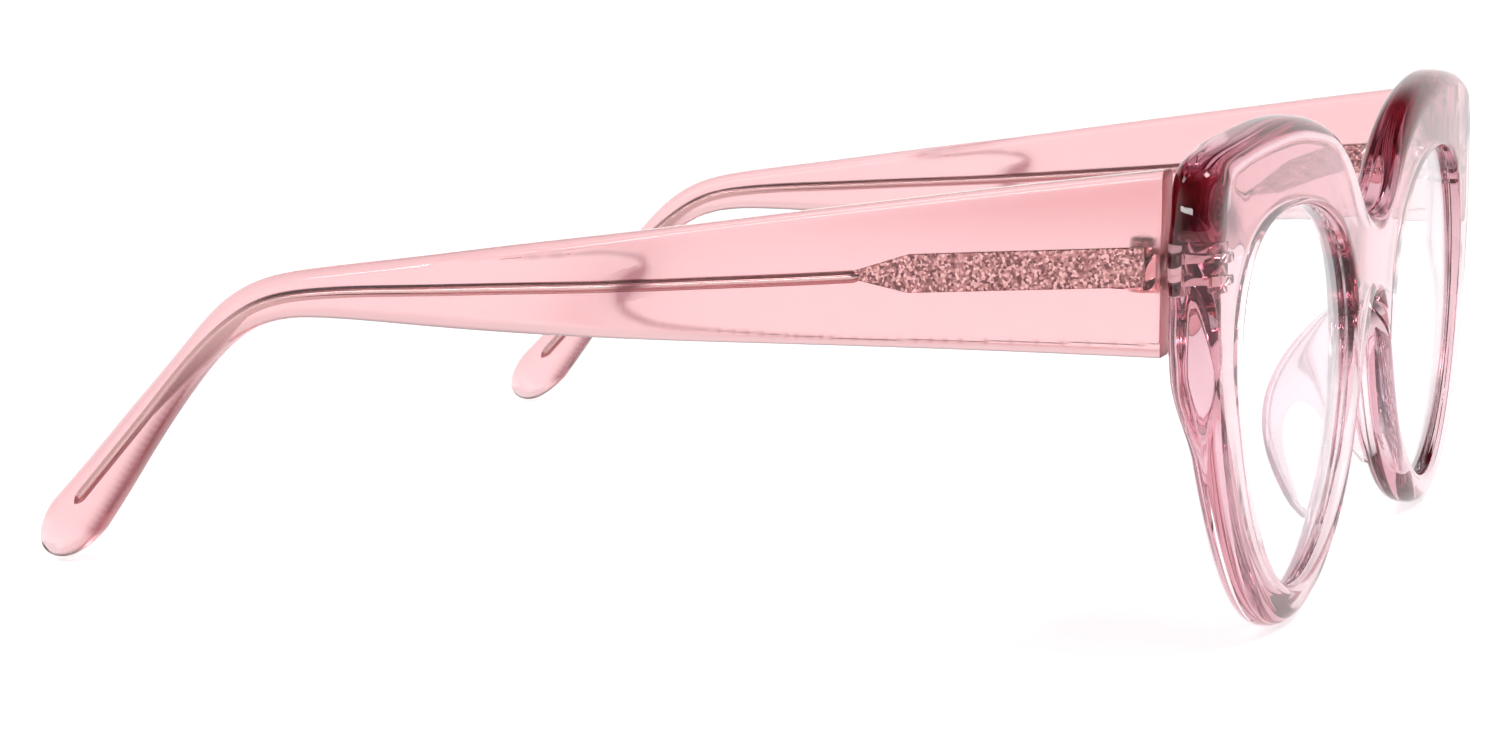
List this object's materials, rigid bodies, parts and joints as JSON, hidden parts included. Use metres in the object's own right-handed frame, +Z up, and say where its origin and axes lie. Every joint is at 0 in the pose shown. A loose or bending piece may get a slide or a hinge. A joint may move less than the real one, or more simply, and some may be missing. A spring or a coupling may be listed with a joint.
{
  "type": "blue light glasses",
  "caption": "Cat-eye glasses in clear pink acetate with clear lenses, moulded nose pads and wire-core temples that fold on barrel hinges.",
  "frame": {"origin": "centre of the object's footprint at the height it stands on: the rims' lowest points and the temple tips, temples open", "axes": "+Z up; +Y from the front towards the temple tips; +X towards the wearer's left"},
  "size_m": [0.1348, 0.1422, 0.0537],
  "materials": {
    "pink_acetate": "polished transparent pink cellulose acetate",
    "clear_lens": "clear plastic lens with a faint violet-blue blue-light coating",
    "rose_core": "rose-gold glitter shield and wire",
    "hinge_steel": "bright nickel silver"
  },
  "bodies": {
    "front": {"front_frame": "pink_acetate", "lens_right": "clear_lens", "nose_pad_right": "pink_acetate", "hinge_front_leaf_right": "hinge_steel", "hinge_screw_right": "hinge_steel", "lens_left": "clear_lens", "nose_pad_left": "pink_acetate", "hinge_front_leaf_left": "hinge_steel", "hinge_screw_left": "hinge_steel"},
    "temple_right": {"temple_right": "pink_acetate", "core_wire_right": "rose_core", "hinge_temple_leaf_right": "hinge_steel"},
    "temple_left": {"temple_left": "pink_acetate", "core_wire_left": "rose_core", "hinge_temple_leaf_left": "hinge_steel"}
  },
  "joints": [
    {"name": "right_temple_fold", "type": "hinge", "parent": "front", "child": "temple_right", "pos_m": [-0.0617, -0.06065, 0.0403], "axis": [0, 0, -1], "range_deg": [0, 90]},
    {"name": "left_temple_fold", "type": "hinge", "parent": "front", "child": "temple_left", "pos_m": [0.0617, -0.06065, 0.0403], "axis": [0, 0, 1], "range_deg": [0, 82]}
  ]
}
